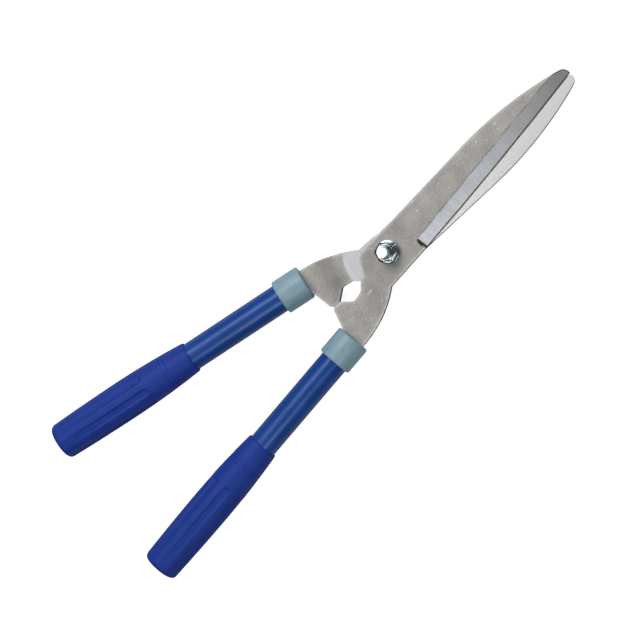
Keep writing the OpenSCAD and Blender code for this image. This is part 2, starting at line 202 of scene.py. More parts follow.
def finish_piece(bm, name, materials, body, node, smooth, flats=False):
    """Turns a bmesh into a piece that rides on a body and stands for a CAD node."""
    mesh = bpy.data.meshes.new(name)
    bm.to_mesh(mesh)
    bm.free()
    for material in materials:
        mesh.materials.append(material)
    for face in mesh.polygons:
        face.use_smooth = True
    mesh.set_sharp_from_angle(angle=math.radians(smooth))
    piece = bpy.data.objects.new(name, mesh)
    scene.collection.objects.link(piece)
    if flats:
        keep = piece.modifiers.new("flats_stay_flat", "WEIGHTED_NORMAL")
        keep.keep_sharp = True
        keep.weight = 100
    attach(piece, body)
    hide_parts(node)


def new_material(name):
    """A material with its node tree, its shader and the place on the piece that patterns read."""
    material = bpy.data.materials.new(name)
    material.use_nodes = True
    tree = material.node_tree
    shader = tree.nodes["Principled BSDF"]
    place = add_node(tree, "ShaderNodeTexCoord").outputs["Object"]
    return material, tree, shader, place


def plate_steel(name, dark, light, rubbing_face):
    """Rolled carbon steel, matt and mottled, with pale nicks; a rubbing face is ground by the pivot."""
    material, tree, shader, place = new_material(name)
    cloud = add_node(tree, "ShaderNodeTexNoise", {"Vector": place, "Scale": 1000 / CLOUD_MM, "Detail": 3.0})
    mottle = add_node(
        tree, "ShaderNodeTexNoise",
        {"Vector": place, "Scale": 1000 / MOTTLE_MM, "Detail": 4.0, "Roughness": 0.65},
    )
    both = add_node(
        tree, "ShaderNodeMix", {0: 0.68, 2: cloud.outputs["Fac"], 3: mottle.outputs["Fac"]}, data_type="FLOAT"
    )
    tone = add_node(tree, "ShaderNodeValToRGB", {"Fac": both.outputs[0]})
    tone.color_ramp.elements[0].position = 0.38
    tone.color_ramp.elements[0].color = linear(dark)
    tone.color_ramp.elements[1].position = 0.62
    tone.color_ramp.elements[1].color = linear(light)
    # Pale nicks: specks and short curved scratches, one to a cell and only in some cells.
    marked = tone.outputs[0]
    for cell_mm, size_mm, stretch, turn, keep, strength in NICKS:
        laid = add_node(
            tree, "ShaderNodeMapping",
            {"Vector": place, "Rotation": (0, 0, math.radians(turn)), "Scale": (1 / stretch, 1.0, 1.0)},
        )
        bent = add_node(
            tree, "ShaderNodeMix", {0: NICK_BEND, 4: laid.outputs[0], 5: cloud.outputs["Color"]},
            data_type="VECTOR",
        )
        cell = add_node(tree, "ShaderNodeTexVoronoi", {"Vector": bent.outputs[1], "Scale": 1000 / cell_mm})
        mark = add_node(
            tree, "ShaderNodeMapRange",
            {"Value": cell.outputs["Distance"], "From Min": 0.4 * size_mm / cell_mm,
             "From Max": size_mm / cell_mm, "To Min": strength, "To Max": 0.0},
        )
        chosen = add_node(tree, "ShaderNodeSeparateColor", {0: cell.outputs["Color"]})
        some = add_node(tree, "ShaderNodeMath", {0: chosen.outputs[0], 1: keep}, operation="LESS_THAN")
        share = add_node(
            tree, "ShaderNodeMath", {0: mark.outputs[0], 1: some.outputs[0]}, operation="MULTIPLY"
        )
        marked = add_node(
            tree, "ShaderNodeMix", {0: share.outputs[0], 6: marked, 7: linear("#f4f1ec")}, data_type="RGBA"
        ).outputs[2]
    # Tumbling has polished a paler band inside each outline.
    worn = add_node(tree, "ShaderNodeAttribute", attribute_name="worn_edge")
    worn_part = add_node(
        tree, "ShaderNodeMapRange",
        {"Value": mottle.outputs["Fac"], "From Min": 0.3, "From Max": 0.6, "To Min": 0.35, "To Max": 1.0},
    )
    worn_part = add_node(
        tree, "ShaderNodeMath", {0: worn.outputs["Fac"], 1: worn_part.outputs[0]}, operation="MULTIPLY"
    )
    colour = add_node(
        tree, "ShaderNodeMix", {0: worn_part.outputs[0], 6: marked, 7: linear("#d2d1d0")}, data_type="RGBA"
    ).outputs[2]
    rough = add_node(
        tree, "ShaderNodeMapRange", {"Value": mottle.outputs["Fac"], "To Min": 0.42, "To Max": 0.56}
    ).outputs[0]
    height = mottle.outputs["Fac"]
    if rubbing_face:
        split = add_node(tree, "ShaderNodeSeparateXYZ", {0: place})
        flat_place = add_node(tree, "ShaderNodeCombineXYZ", {0: split.outputs[0], 1: split.outputs[1]})
        radius = add_node(tree, "ShaderNodeVectorMath", {0: flat_place.outputs[0]}, operation="LENGTH")
        ragged = add_node(
            tree, "ShaderNodeMath", {0: cloud.outputs["Fac"], 1: 0.004, 2: radius.outputs["Value"]},
            operation="MULTIPLY_ADD",
        )
        near = add_node(
            tree, "ShaderNodeMapRange",
            {"Value": ragged.outputs[0], "From Min": GROUND_R + GROUND_FADE[0],
             "From Max": GROUND_R + GROUND_FADE[1], "To Min": 1.0, "To Max": 0.0},
        )
        ahead = add_node(tree, "ShaderNodeMath", {0: split.outputs[0], 1: 0.0}, operation="GREATER_THAN")
        ground = add_node(
            tree, "ShaderNodeMath", {0: near.outputs[0], 1: ahead.outputs[0]}, operation="MAXIMUM"
        ).outputs[0]
        # Near the pivot the wheel's lines run round it; along the blade they run across it.
        polar = add_node(
            tree, "ShaderNodeMath", {0: radius.outputs["Value"], 1: 1000 / GRIND_MM}, operation="MULTIPLY"
        )
        across = add_node(
            tree, "ShaderNodeMath", {0: split.outputs[0], 1: 1000 / GRIND_MM}, operation="MULTIPLY"
        )
        lines_at = add_node(
            tree, "ShaderNodeMix", {0: ahead.outputs[0], 2: polar.outputs[0], 3: across.outputs[0]},
            data_type="FLOAT",
        )
        lines = add_node(tree, "ShaderNodeTexNoise", {"W": lines_at.outputs[0], "Scale": 1.0, "Detail": 2.0},
                         noise_dimensions="1D")
        bright = add_node(tree, "ShaderNodeValToRGB", {"Fac": lines.outputs["Fac"]})
        skimmed = add_node(tree, "ShaderNodeValToRGB", {"Fac": lines.outputs["Fac"]})
        skimmed.color_ramp.elements[0].position = 0.3
        skimmed.color_ramp.elements[0].color = linear("#c6c6c9")
        skimmed.color_ramp.elements[1].position = 0.7
        skimmed.color_ramp.elements[1].color = linear("#d6d6d9")
        bright.color_ramp.elements[0].position = 0.3
        bright.color_ramp.elements[0].color = linear("#d0d0cf")
        bright.color_ramp.elements[1].position = 0.7
        bright.color_ramp.elements[1].color = linear("#e4e4e3")
        # The zone round the pivot is only skimmed, so it is duller than the strip along the blade.
        shone = add_node(
            tree, "ShaderNodeMix", {0: ahead.outputs[0], 6: skimmed.outputs[0], 7: bright.outputs[0]},
            data_type="RGBA",
        )
        colour = add_node(
            tree, "ShaderNodeMix", {0: ground, 6: colour, 7: shone.outputs[2]}, data_type="RGBA"
        ).outputs[2]
        sheen = add_node(
            tree, "ShaderNodeMix", {0: ahead.outputs[0], 2: 0.5, 3: 0.38}, data_type="FLOAT"
        ).outputs[0]
        rough = add_node(tree, "ShaderNodeMix", {0: ground, 2: rough, 3: sheen}, data_type="FLOAT").outputs[0]
        height = add_node(
            tree, "ShaderNodeMix", {0: ground, 2: height, 3: lines.outputs["Fac"]}, data_type="FLOAT"
        ).outputs[0]
    bump = add_node(tree, "ShaderNodeBump", {"Height": height, "Strength": 0.35, "Distance": 0.00008})
    tree.links.new(colour, shader.inputs["Base Color"])
    tree.links.new(rough, shader.inputs["Roughness"])
    tree.links.new(bump.outputs[0], shader.inputs["Normal"])
    shader.inputs["Metallic"].default_value = 1.0
    return material


def ground_bevel_steel():
    """The ground bevel: bright, bluish, with fine lines across it from the wheel."""
    material, tree, shader, place = new_material("wheel_ground_bevel_steel")
    shift = add_node(
        tree, "ShaderNodeMapping",
        {"Vector": place, "Scale": (1000 / GRIND_MM, 1000 / 18.0, 1000 / 18.0)},
    )
    lines = add_node(tree, "ShaderNodeTexNoise", {"Vector": shift.outputs[0], "Scale": 1.0, "Detail": 3.0})
    cloud = add_node(tree, "ShaderNodeTexNoise", {"Vector": place, "Scale": 1000 / CLOUD_MM, "Detail": 2.0})
    both = add_node(
        tree, "ShaderNodeMix", {0: 0.35, 2: lines.outputs["Fac"], 3: cloud.outputs["Fac"]}, data_type="FLOAT"
    )
    tone = add_node(tree, "ShaderNodeValToRGB", {"Fac": both.outputs[0]})
    tone.color_ramp.elements[0].position = 0.3
    tone.color_ramp.elements[0].color = linear("#aeb2b8")
    tone.color_ramp.elements[1].position = 0.7
    tone.color_ramp.elements[1].color = linear("#cfd2d8")
    bump = add_node(
        tree, "ShaderNodeBump", {"Height": lines.outputs["Fac"], "Strength": 0.3, "Distance": 0.00006}
    )
    # The bevel is painted darker and warmer towards the tip: painted shade for the curved ground tip, which
    # turns away from the light.
    along = add_node(tree, "ShaderNodeSeparateXYZ", {0: place})
    tip_shade = add_node(
        tree, "ShaderNodeMapRange",
        {"Value": along.outputs[0], "From Min": TIP_SHADE_FROM, "From Max": TIP_SHADE_TO, "To Max": 0.8},
    )
    colour = add_node(
        tree, "ShaderNodeMix", {0: tip_shade.outputs[0], 6: tone.outputs[0], 7: linear("#949290")},
        data_type="RGBA",
    )
    tree.links.new(colour.outputs[2], shader.inputs["Base Color"])
    tree.links.new(bump.outputs[0], shader.inputs["Normal"])
    shader.inputs["Metallic"].default_value = 1.0
    shader.inputs["Roughness"].default_value = 0.44
    return material


def sheared_edge_and_shade_steel():
    """The stamped outline: a dark band of sheared metal with marks through the plate's thickness, also used
    as painted shade on the steep part of the rounding.
    """
    material, tree, shader, place = new_material("sheared_edge_and_shade_steel")
    shift = add_node(tree, "ShaderNodeMapping", {"Vector": place, "Scale": (1300.0, 1300.0, 90.0)})
    marks = add_node(tree, "ShaderNodeTexNoise", {"Vector": shift.outputs[0], "Scale": 1.0, "Detail": 3.0})
    tone = add_node(tree, "ShaderNodeValToRGB", {"Fac": marks.outputs["Fac"]})
    tone.color_ramp.elements[0].color = linear("#3c3a37")
    tone.color_ramp.elements[1].color = linear("#6c6965")
    bump = add_node(
        tree, "ShaderNodeBump", {"Height": marks.outputs["Fac"], "Strength": 0.4, "Distance": 0.0001}
    )
    tree.links.new(tone.outputs[0], shader.inputs["Base Color"])
    tree.links.new(bump.outputs[0], shader.inputs["Normal"])
    shader.inputs["Metallic"].default_value = 1.0
    shader.inputs["Roughness"].default_value = 0.5
    return material


def runout_tint_and_edge_shade_steel():
    """Where the wheel is lifted out of the bevel: a dark olive heat tint over coarse marks. It is also
    painted on the keen facet and the line behind it as shade along the cutting edge.
    """
    material, tree, shader, place = new_material("scorched_runout_and_edge_shade_steel")
    marks = add_node(tree, "ShaderNodeTexNoise", {"Vector": place, "Scale": 1000 / 0.9, "Detail": 3.0})
    tone = add_node(tree, "ShaderNodeValToRGB", {"Fac": marks.outputs["Fac"]})
    tone.color_ramp.elements[0].color = linear("#454239")
    tone.color_ramp.elements[1].color = linear("#78745f")
    bump = add_node(
        tree, "ShaderNodeBump", {"Height": marks.outputs["Fac"], "Strength": 0.4, "Distance": 0.0001}
    )
    tree.links.new(tone.outputs[0], shader.inputs["Base Color"])
    tree.links.new(bump.outputs[0], shader.inputs["Normal"])
    shader.inputs["Metallic"].default_value = 1.0
    shader.inputs["Roughness"].default_value = 0.42
    return material


PLATE_OUTER, PLATE_INNER, PLATE_BEVEL, PLATE_EDGE, PLATE_RUNOUT_AND_EDGE_SHADE = range(5)
steels = [
    plate_steel("rolled_carbon_steel", "#8f8c88", "#b4b1ad", rubbing_face=False),
    plate_steel("ground_rubbing_face_steel", "#9a9792", "#bdbab5", rubbing_face=True),
    ground_bevel_steel(),
    sheared_edge_and_shade_steel(),
    runout_tint_and_edge_shade_steel(),
]


def kdtree_of(edges):
    """Points every half millimetre along some edges, for finding how far a place is from them."""
    points = []
    for edge in edges:
        a, b = (v.co for v in edge.verts)
        steps = int((b - a).length / 0.0005) + 1
        points += [a.lerp(b, i / steps) for i in range(steps + 1)]
    tree = kdtree.KDTree(len(points))
    for i, point in enumerate(points):
        tree.insert(point, i)
    tree.balance()
    return tree


def build_plate(node, name, body, outward):
    """One blade and arm. `outward` is +1 where the outer face looks up and -1 where it looks down."""
    bm = merged_copy(node)
    bm.normal_update()
    for face in bm.faces:
        lift = face.normal.z * outward
        middle = face.calc_center_median()
        wall = abs(lift) < WALL_BELOW
        if wall and face.normal.x > 0.9 and RUNOUT_X[0] < middle.x < RUNOUT_X[1]:
            face.material_index = PLATE_RUNOUT_AND_EDGE_SHADE
        elif wall:
            face.material_index = PLATE_EDGE
        elif 0 < lift < BEVEL_BELOW and middle.x > EDGE_FROM_X:
            face.material_index = PLATE_BEVEL
        elif lift > 0:
            face.material_index = PLATE_OUTER
        else:
            face.material_index = PLATE_INNER
    # The wheel leaves a hollow slope at the bevel's start: its top edge is drawn back in a bow.
    top = [
        e for e in bm.edges if {f.material_index for f in e.link_faces} == {PLATE_RUNOUT_AND_EDGE_SHADE, PLATE_OUTER}
    ]
    cut = bmesh.ops.subdivide_edges(bm, edges=top, cuts=9)
    rim = {v for e in top if e.is_valid for v in e.verts} | {
        v for v in cut["geom_inner"] if isinstance(v, bmesh.types.BMVert)
    }
    if rim:
        inner = min(abs(v.co.y) for v in rim)
        reach = max(abs(v.co.y) for v in rim) - inner
        for vert in rim:
            part = (abs(vert.co.y) - inner) / reach
            if part > 0.02:
                vert.co.x -= RUNOUT * math.sin(math.pi * (RUNOUT_BOW[0] + RUNOUT_BOW[1] * part))
    # The very edge is dressed with a steep little facet.
    keen = [e for e in bm.edges if {f.material_index for f in e.link_faces} == {PLATE_BEVEL, PLATE_EDGE}]
    keen = [
        e for e in keen if e.verts[0].co.x > EDGE_FROM_X and abs(e.verts[0].co.z - SHEAR_Z) < NEAR_SHEAR
    ]
    dressed = bmesh.ops.bevel(
        bm, geom=keen, offset=KEEN_FACET, offset_type="OFFSET", segments=1, profile=0.5,
        affect="EDGES", clamp_overlap=True, material=-1, loop_slide=True,
    )
    # The facet is painted with the dark run-out steel as shade along the cutting edge.
    for face in dressed["faces"]:
        face.material_index = PLATE_RUNOUT_AND_EDGE_SHADE
    # A line just behind it is painted dark as well: painted shade for the shadow in the gap between the
    # blades.
    ground = [f for f in bm.faces if f.material_index == PLATE_BEVEL]
    bmesh.ops.inset_region(
        bm, faces=ground, thickness=PAINTED_SHADE_LINE, use_even_offset=True, use_boundary=True, depth=0
    )
    # The narrow strip that the inset leaves next to the edge gets the same painted shade.
    for face in bm.faces:
        if face.material_index == PLATE_BEVEL and face.calc_area() < STRIP_AREA:
            others = {f.material_index for e in face.edges for f in e.link_faces}
            if PLATE_OUTER not in others and {PLATE_EDGE, PLATE_RUNOUT_AND_EDGE_SHADE} & others:
                face.material_index = PLATE_RUNOUT_AND_EDGE_SHADE
    round_edges(bm, EDGE_ROUND, 3)
    # The steep part of each rounding is painted with the dark sheared-edge steel: partly sheared metal,
    # partly painted shade along the outline.
    bm.normal_update()
    for face in bm.faces:
        if face.material_index in (PLATE_OUTER, PLATE_INNER) and abs(face.normal.z) < SHEARED_AND_SHADE_BELOW:
            face.material_index = PLATE_EDGE
    bmesh.ops.dissolve_degenerate(bm, dist=1e-6, edges=bm.edges)
    rims = [{f.material_index for f in e.link_faces} for e in bm.edges]
    outline = kdtree_of([e for e, sides in zip(bm.edges, rims) if len(sides) > 1 and PLATE_EDGE in sides])
    low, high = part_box(node)
    for axis in (0, 1):
        normal = (1, 0, 0) if axis == 0 else (0, 1, 0)
        for i in range(1, int((high[axis] - low[axis]) / WORN_GRID) + 1):
            at = [0.0, 0.0, 0.0]
            at[axis] = low[axis] + WORN_GRID * i
            bmesh.ops.bisect_plane(
                bm, geom=bm.verts[:] + bm.edges[:] + bm.faces[:], dist=1e-6, plane_co=at, plane_no=normal
            )
    worn = bm.verts.layers.float.new("worn_edge")
    for vert in bm.verts:
        vert[worn] = max(0.0, 1.0 - outline.find(vert.co)[2] / WORN_BAND)
    finish_piece(bm, name, steels, body, node, smooth=24, flats=True)


build_plate("front_blade", "front_plate", "front_half", outward=1)
build_plate("rear_blade", "rear_plate", "rear_half", outward=-1)

# ---------------------------------------------------------------------------------------------------------
# Pivot bolt. A zinc-plated steel bolt with a flat round head, a square neck that sits in the rear blade, and
# a rolled 1.5 mm thread. It ends in a smooth point with a nearly flat top above the nut.
# ---------------------------------------------------------------------------------------------------------
BOLT_R = 0.005
HEAD_R = 0.010
HEAD_H = 0.004
NECK_TOP = 0.008
BOLT_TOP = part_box("pivot_bolt")[1][2]
DOME_H = 0.0014
PLAIN_POINT = 0.0048  # length of the smooth end above the thread
THREAD_PITCH = 0.0015
THREAD_DEPTH = 0.00075
THREAD_FROM = 0.0215
THREAD_FADE = 0.0004  # the thread comes and goes over this length
THREAD_ROWS = 12  # rows of vertices to a turn of the thread
HEAD_EDGE = ((0.0008, 0.0), (0.0003, 0.0002), (0.0, 0.0008))  # rounding of the head: inwards and up
# The point, in shares of the bolt's radius and of the dome's height.
POINT = ((0.965, 0.5), (0.95, 0.8), (0.92, 0.95), (0.88, 0.98), (0.6, 0.99), (0.3, 0.997))
SHANK_STEPS = 96


def spun(profile, steps, start=0.0):
    """A solid turned about Z from points of radius and height; a profile off the axis closes on itself."""
    bm = bmesh.new()
    ring = [bm.verts.new((r * math.cos(start), r * math.sin(start), z)) for r, z in profile]
    closed = profile[0][0] > 0
    edges = [bm.edges.new(pair) for pair in zip(ring, ring[1:] + ring[:1] if closed else ring[1:])]
    bmesh.ops.spin(
        bm, geom=ring + edges, cent=(0, 0, 0), axis=(0, 0, 1), angle=2 * math.pi, steps=steps, use_merge=True
    )
    bmesh.ops.remove_doubles(bm, verts=bm.verts, dist=1e-7)
    bmesh.ops.recalc_face_normals(bm, faces=bm.faces)
    return bm


def polygon_reach(turn, sides, flat):
    """Radius of a polygon's outline in a direction, from half its width across flats."""
    part = 2 * math.pi / sides
    return flat / math.cos((turn + part / 2) % part - part / 2)


def zinc_plated_steel():
    """Bright zinc plate on turned steel: a cold pale metal with a fine cloudy bloom in its gloss."""
    material, tree, shader, place = new_material("bright_zinc_plated_steel")
    bloom = add_node(tree, "ShaderNodeTexNoise", {"Vector": place, "Scale": 1000 / 2.5, "Detail": 4.0})
    tone = add_node(tree, "ShaderNodeValToRGB", {"Fac": bloom.outputs["Fac"]})
    tone.color_ramp.elements[0].position = 0.35
    tone.color_ramp.elements[0].color = linear("#b4c2c7")
    tone.color_ramp.elements[1].position = 0.65
    tone.color_ramp.elements[1].color = linear("#d3dcdf")
    rough = add_node(
        tree, "ShaderNodeMapRange", {"Value": bloom.outputs["Fac"], "To Min": 0.2, "To Max": 0.28}
    )
    bump = add_node(
        tree, "ShaderNodeBump", {"Height": bloom.outputs["Fac"], "Strength": 0.04, "Distance": 0.00008}
    )
    tree.links.new(tone.outputs[0], shader.inputs["Base Color"])
    tree.links.new(rough.outputs[0], shader.inputs["Roughness"])
    tree.links.new(bump.outputs[0], shader.inputs["Normal"])
    shader.inputs["Metallic"].default_value = 1.0
    return material


zinc = zinc_plated_steel()
thread_top = BOLT_TOP - PLAIN_POINT
plain_top = BOLT_TOP - DOME_H
rows = int((thread_top - THREAD_FROM) / THREAD_PITCH * THREAD_ROWS)
profile = [(0, 0), (HEAD_R * 0.6, 0)]
profile += [(HEAD_R - inwards, up) for inwards, up in HEAD_EDGE]
profile += [(HEAD_R - inwards, HEAD_H - up) for inwards, up in reversed(HEAD_EDGE)]
profile += [(BOLT_R * 1.5, HEAD_H), (BOLT_R, HEAD_H), (BOLT_R, NECK_TOP), (BOLT_R * 0.995, NECK_TOP + 0.0001)]
profile += [(BOLT_R, THREAD_FROM + (thread_top - THREAD_FROM) * i / rows) for i in range(rows + 1)]
profile += [(BOLT_R * 0.97, thread_top + 0.0003), (BOLT_R * 0.97, plain_top)]
profile += [(BOLT_R * reach, plain_top + DOME_H * up) for reach, up in POINT] + [(0, BOLT_TOP)]
bm = spun(profile, SHANK_STEPS)
for vert in bm.verts:
    reach = math.hypot(vert.co.x, vert.co.y)
    turn = math.atan2(vert.co.y, vert.co.x)
    if abs(reach - BOLT_R) < 1e-6 and HEAD_H - 1e-6 < vert.co.z < NECK_TOP + 1e-6:
        wanted = polygon_reach(turn, 4, BOLT_R)
    elif abs(reach - BOLT_R) < 1e-6 and vert.co.z > THREAD_FROM - 1e-6:
        phase = (vert.co.z / THREAD_PITCH - turn / (2 * math.pi)) % 1
        runout = min(1, (thread_top - vert.co.z) / THREAD_FADE, (vert.co.z - THREAD_FROM) / THREAD_FADE)
        wanted = BOLT_R - THREAD_DEPTH * runout * min(1, max(0, 1.25 * abs(2 * phase - 1) - 0.12))
    else:
        continue
    vert.co.x *= wanted / reach
    vert.co.y *= wanted / reach
finish_piece(bm, "threaded_pivot_bolt", [zinc], "rear_half", "pivot_bolt", smooth=35)

# ---------------------------------------------------------------------------------------------------------
# Spring washer. A coil of square zinc-plated spring wire, cut through on the slant; it is nipped flat
# between the nut and the front blade and keeps the blades pressed together.
# ---------------------------------------------------------------------------------------------------------
WASHER_HOLE_R = 0.0052
WASHER_R = 0.0089
WASHER_Z = (0.0121, 0.0145)
WASHER_STEPS = 90
WIRE_ROUND = 0.0003
SPLIT_HALF = math.radians(3.9)
SPLIT_MIDDLE = math.radians(-3)
SPLIT_SLANT = math.radians(9)

bm = bmesh.new()
low, high = WASHER_Z
section = [(WASHER_HOLE_R, low), (WASHER_R, low), (WASHER_R, high), (WASHER_HOLE_R, high)]
start = SPLIT_MIDDLE + SPLIT_HALF
wire = bm.faces.new([bm.verts.new((r * math.cos(start), r * math.sin(start), z)) for r, z in section])
bmesh.ops.spin(
    bm, geom=list(bm.verts) + list(bm.edges) + [wire], cent=(0, 0, 0), axis=(0, 0, 1),
    angle=2 * math.pi - 2 * SPLIT_HALF, steps=WASHER_STEPS,
)
bmesh.ops.recalc_face_normals(bm, faces=bm.faces)
slant = Matrix.Rotation(SPLIT_SLANT, 3, "Z")
for vert in bm.verts:
    if vert.co.z > high - 1e-6:
        vert.co = slant @ vert.co
round_edges(bm, WIRE_ROUND, 2)
finish_piece(bm, "split_spring_washer", [zinc], "rear_half", "spring_washer", smooth=35)

# ---------------------------------------------------------------------------------------------------------
# Pivot nut. A tall zinc-plated hexagon nut with both faces chamfered at the corners and the thread
# countersunk; it holds the blades to the right play.
# ---------------------------------------------------------------------------------------------------------
NUT_Z = (0.0145, 0.0235)
NUT_FLAT = 0.007
NUT_TURN = math.radians(16)
NUT_BORE = 0.00505
NUT_CHAMFER_R = NUT_FLAT * 0.86
NUT_CORNER = NUT_FLAT / math.cos(math.radians(30)) - 0.00012
NUT_SINK = 0.0006  # countersink at both ends of the thread
NUT_STEPS = 96
NUT_SPUN_R = 0.009  # the wall is spun at this radius, then drawn in to the six flats
CHAMFER_STEP = 0.0001  # the chamfer's rings are spun this far apart, then spread out to the outline
CHAMFER_RINGS = 4
CHAMFER_SLOPE = 0.577

low, high = NUT_Z
wall = [low + (high - low) * i / 6 for i in range(1, 6)]
profile = [(NUT_BORE, low + NUT_SINK), (NUT_BORE + NUT_SINK, low), (NUT_CHAMFER_R, low)]
profile += [(NUT_CHAMFER_R + CHAMFER_STEP * (i + 1), low) for i in range(CHAMFER_RINGS)]
profile += [(NUT_SPUN_R, z) for z in wall]
profile += [(NUT_CHAMFER_R + CHAMFER_STEP * (CHAMFER_RINGS - i), high) for i in range(CHAMFER_RINGS)]
profile += [(NUT_CHAMFER_R, high), (NUT_BORE + NUT_SINK, high), (NUT_BORE, high - NUT_SINK)]
bm = spun(profile, NUT_STEPS, NUT_TURN)
for vert in bm.verts:
    reach = math.hypot(vert.co.x, vert.co.y)
    if reach < NUT_CHAMFER_R + 1e-6:
        continue
    turn = math.atan2(vert.co.y, vert.co.x)
    outline = min(polygon_reach(turn - NUT_TURN - math.pi / 6, 6, NUT_FLAT), NUT_CORNER)
    if reach < NUT_SPUN_R - CHAMFER_STEP:
        share = (reach - NUT_CHAMFER_R) / (CHAMFER_STEP * CHAMFER_RINGS)
        wanted = NUT_CHAMFER_R + (outline - NUT_CHAMFER_R) * share
        drop = (wanted - NUT_CHAMFER_R) * CHAMFER_SLOPE
        vert.co.z += drop if vert.co.z < (low + high) / 2 else -drop
    else:
        wanted = outline
    vert.co.x *= wanted / reach
    vert.co.y *= wanted / reach
finish_piece(bm, "hexagon_pivot_nut", [zinc], "rear_half", "pivot_nut", smooth=20)

# ---------------------------------------------------------------------------------------------------------
# Collars. Moulded from grey-blue nylon with a satin skin; each is pushed over the tube's end and closes
# it round the arm. The mouth is a slot that fits the plate.
# ---------------------------------------------------------------------------------------------------------
HANDS = ("rear", "front")
CRANK = 11
HANDLE_AT = {"rear": (-0.0610, 0.0281, 0.015345), "front": (-0.0636, -0.0287, 0.01565)}
HANDLE_HEADING = {"rear": 169.9, "front": -173.2}
COLLAR_ROUND = 0.0003


def handle_frame(hand):
    """Where a handle stands: its own X runs out along the tube from the collar's mouth."""
    turn = Matrix.Rotation(math.radians(HANDLE_HEADING[hand]), 4, "Z")
    return Matrix.Translation(HANDLE_AT[hand]) @ turn @ Matrix.Rotation(math.radians(-CRANK), 4, "Y")


def satin_nylon():
    """Moulded nylon: grey-blue, satin, with soft paler streaks from the mould and a faint grain."""
    material, tree, shader, place = new_material("moulded_satin_nylon")
    streak_at = add_node(
        tree, "ShaderNodeMapping", {"Vector": place, "Scale": (1000 / 9.0, 1000 / 3.0, 1000 / 3.0)}
    )
    streak = add_node(
        tree, "ShaderNodeTexNoise", {"Vector": streak_at.outputs[0], "Scale": 1.0, "Detail": 3.0}
    )
    grain = add_node(tree, "ShaderNodeTexNoise", {"Vector": place, "Scale": 1000 / 0.6, "Detail": 2.0})
    tone = add_node(tree, "ShaderNodeValToRGB", {"Fac": streak.outputs["Fac"]})
    tone.color_ramp.elements[0].position = 0.3
    tone.color_ramp.elements[0].color = linear("#90b4c3")
    tone.color_ramp.elements[1].position = 0.7
    tone.color_ramp.elements[1].color = linear("#a0c2cf")
    rough = add_node(
        tree, "ShaderNodeMapRange", {"Value": streak.outputs["Fac"], "To Min": 0.38, "To Max": 0.5}
    )
    bump = add_node(
        tree, "ShaderNodeBump", {"Height": grain.outputs["Fac"], "Strength": 0.15, "Distance": 0.0001}
    )
    tree.links.new(tone.outputs[0], shader.inputs["Base Color"])
    tree.links.new(rough.outputs[0], shader.inputs["Roughness"])
    tree.links.new(bump.outputs[0], shader.inputs["Normal"])
    shader.inputs["IOR"].default_value = 1.53
    return material


nylon = satin_nylon()
for hand in HANDS:
    bm = merged_copy(f"{hand}_collar")
    round_edges(bm, COLLAR_ROUND, 2)
    name = f"{hand}_moulded_collar"
    finish_piece(bm, name, [nylon], f"{hand}_half", f"{hand}_collar", smooth=34)

# ---------------------------------------------------------------------------------------------------------
# Tubes. Drawn steel tube of 22 mm, stove-enamelled in a glossy mid blue. The front end is inside the
# collar and pinned there; the grip is pushed over the rear end.
# ---------------------------------------------------------------------------------------------------------


def blue_enamel():
    """Stove enamel on steel: glossy blue with a faint orange-peel ripple and small differences in depth."""
    material, tree, shader, place = new_material("stove_enamelled_tube")
    depth = add_node(tree, "ShaderNodeTexNoise", {"Vector": place, "Scale": 1000 / 16.0, "Detail": 2.0})
    peel = add_node(tree, "ShaderNodeTexNoise", {"Vector": place, "Scale": 1000 / 1.4, "Detail": 2.0})
    tone = add_node(tree, "ShaderNodeValToRGB", {"Fac": depth.outputs["Fac"]})
    tone.color_ramp.elements[0].position = 0.3
    tone.color_ramp.elements[0].color = linear("#1f4b9c")
    tone.color_ramp.elements[1].position = 0.7
    tone.color_ramp.elements[1].color = linear("#2453a8")
    bump = add_node(
        tree, "ShaderNodeBump", {"Height": peel.outputs["Fac"], "Strength": 0.12, "Distance": 0.0001}
    )
    tree.links.new(tone.outputs[0], shader.inputs["Base Color"])
    tree.links.new(bump.outputs[0], shader.inputs["Normal"])
    shader.inputs["IOR"].default_value = 1.5
    shader.inputs["Roughness"].default_value = 0.28
    shader.inputs["Specular Tint"].default_value = linear("#c4dcff")
    return material


enamel = blue_enamel()
for hand in HANDS:
    bm = merged_copy(f"{hand}_tube")
    name = f"{hand}_enamelled_tube"
    finish_piece(bm, name, [enamel], f"{hand}_half", f"{hand}_tube", smooth=34)

# ---------------------------------------------------------------------------------------------------------
# Grips. Each is one moulding of violet-blue polypropylene with a closed, slightly domed end, pushed over
# the tube. Eight round-nosed flutes run to the end, and two fine rings go round behind the front shoulder.
# ---------------------------------------------------------------------------------------------------------
GRIP_FROM = {"rear": 0.1039, "front": 0.1051}
GRIP_LENGTH = 0.122
GRIP_PEAK = 0.060
GRIP_R = (0.0124, 0.0152, 0.0142)  # at the rim, at the peak and at the end
BORE_R = 0.01115
BORE_END = 0.117
BORE_CHAMFER = (0.0003, 0.0006)  # at the bore's mouth: outwards and in
SHOULDER = 0.0011
END_ROUND = 0.004
END_DOME = 0.0006
FLUTES = 8
FLUTE_START = 0.0395
FLUTE_HALF_W = 0.0032
FLUTE_DEPTH = 0.0011
FLUTE_FIRST = {"rear": 23.8, "front": 31.4}
FLUTE_NOSE_STEP = 0.0004  # rings of vertices round the flutes' noses are this far apart
FLUTE_FLATNESS = 3.5  # a higher power gives a flatter floor and steeper sides
FLUTE_FADE = 0.85  # past the peak a flute grows shallower by this share of the grip's own taper
RINGS = (0.0184, 0.0215)
RING_W = 0.0009
RING_DEPTH = 0.0004
RING_SIDE = 0.00015  # a ring's sides slope over this length
GRIP_STEPS = 240
GRIP_RINGS = 76
CLOSEST_RINGS = 0.00006


